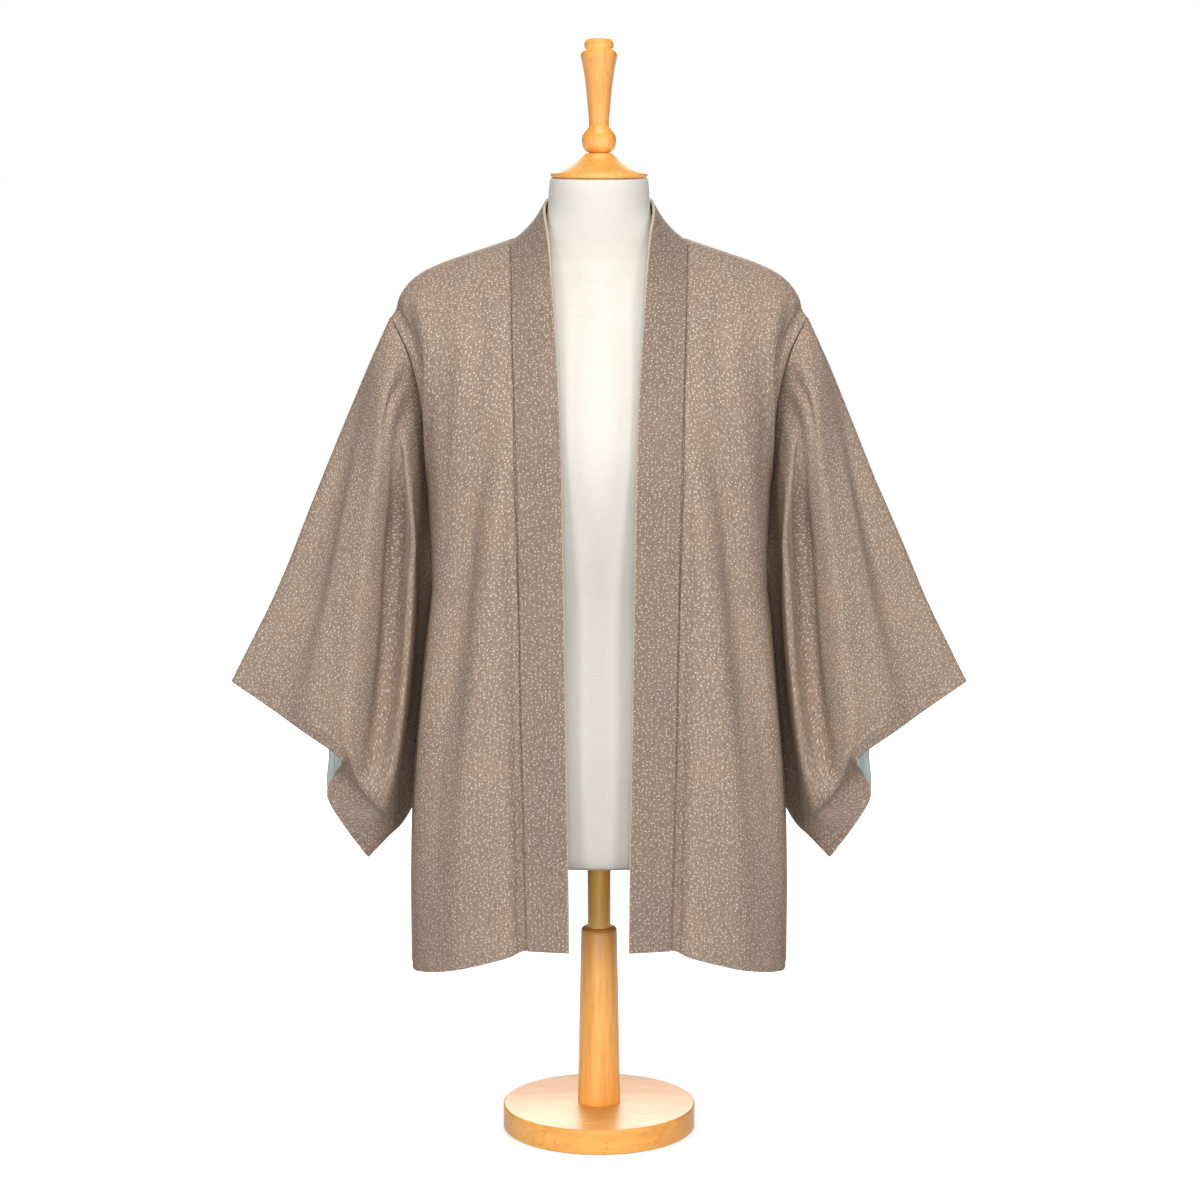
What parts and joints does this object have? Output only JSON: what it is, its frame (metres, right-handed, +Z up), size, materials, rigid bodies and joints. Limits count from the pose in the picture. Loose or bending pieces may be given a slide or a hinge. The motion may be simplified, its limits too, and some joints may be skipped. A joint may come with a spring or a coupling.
{
  "type": "haori jacket on a limbless dress form with a wooden stand",
  "caption": "Open-fronted Japanese haori jacket with wide hanging sleeves and a straight collar band, worn by a limbless dress form on a turned wooden stand.",
  "frame": {"origin": "middle of the underside of the stand's foot, on the surface it stands on", "axes": "+Z up, +X towards the viewer's right across the shoulders, the open front faces -Y"},
  "size_m": [0.754, 0.2415, 1.1245],
  "materials": {
    "haori_cloth": "dull brown silk crepe with a fine cream dot pattern",
    "sleeve_lining": "smooth pale blue silk lining",
    "form_linen": "matt ivory linen stretched over the form",
    "turned_beech": "satin varnished light wood"
  },
  "bodies": {
    "root": {"body_left": "haori_cloth", "body_right": "haori_cloth", "sleeve_left": "haori_cloth", "sleeve_right": "haori_cloth", "collar_band": "haori_cloth", "sleeve_lining_left": "sleeve_lining", "sleeve_lining_right": "sleeve_lining", "form_torso": "form_linen", "neck_cap": "turned_beech", "finial": "turned_beech", "column": "turned_beech", "pole": "turned_beech", "foot": "turned_beech"}
  },
  "joints": []
}
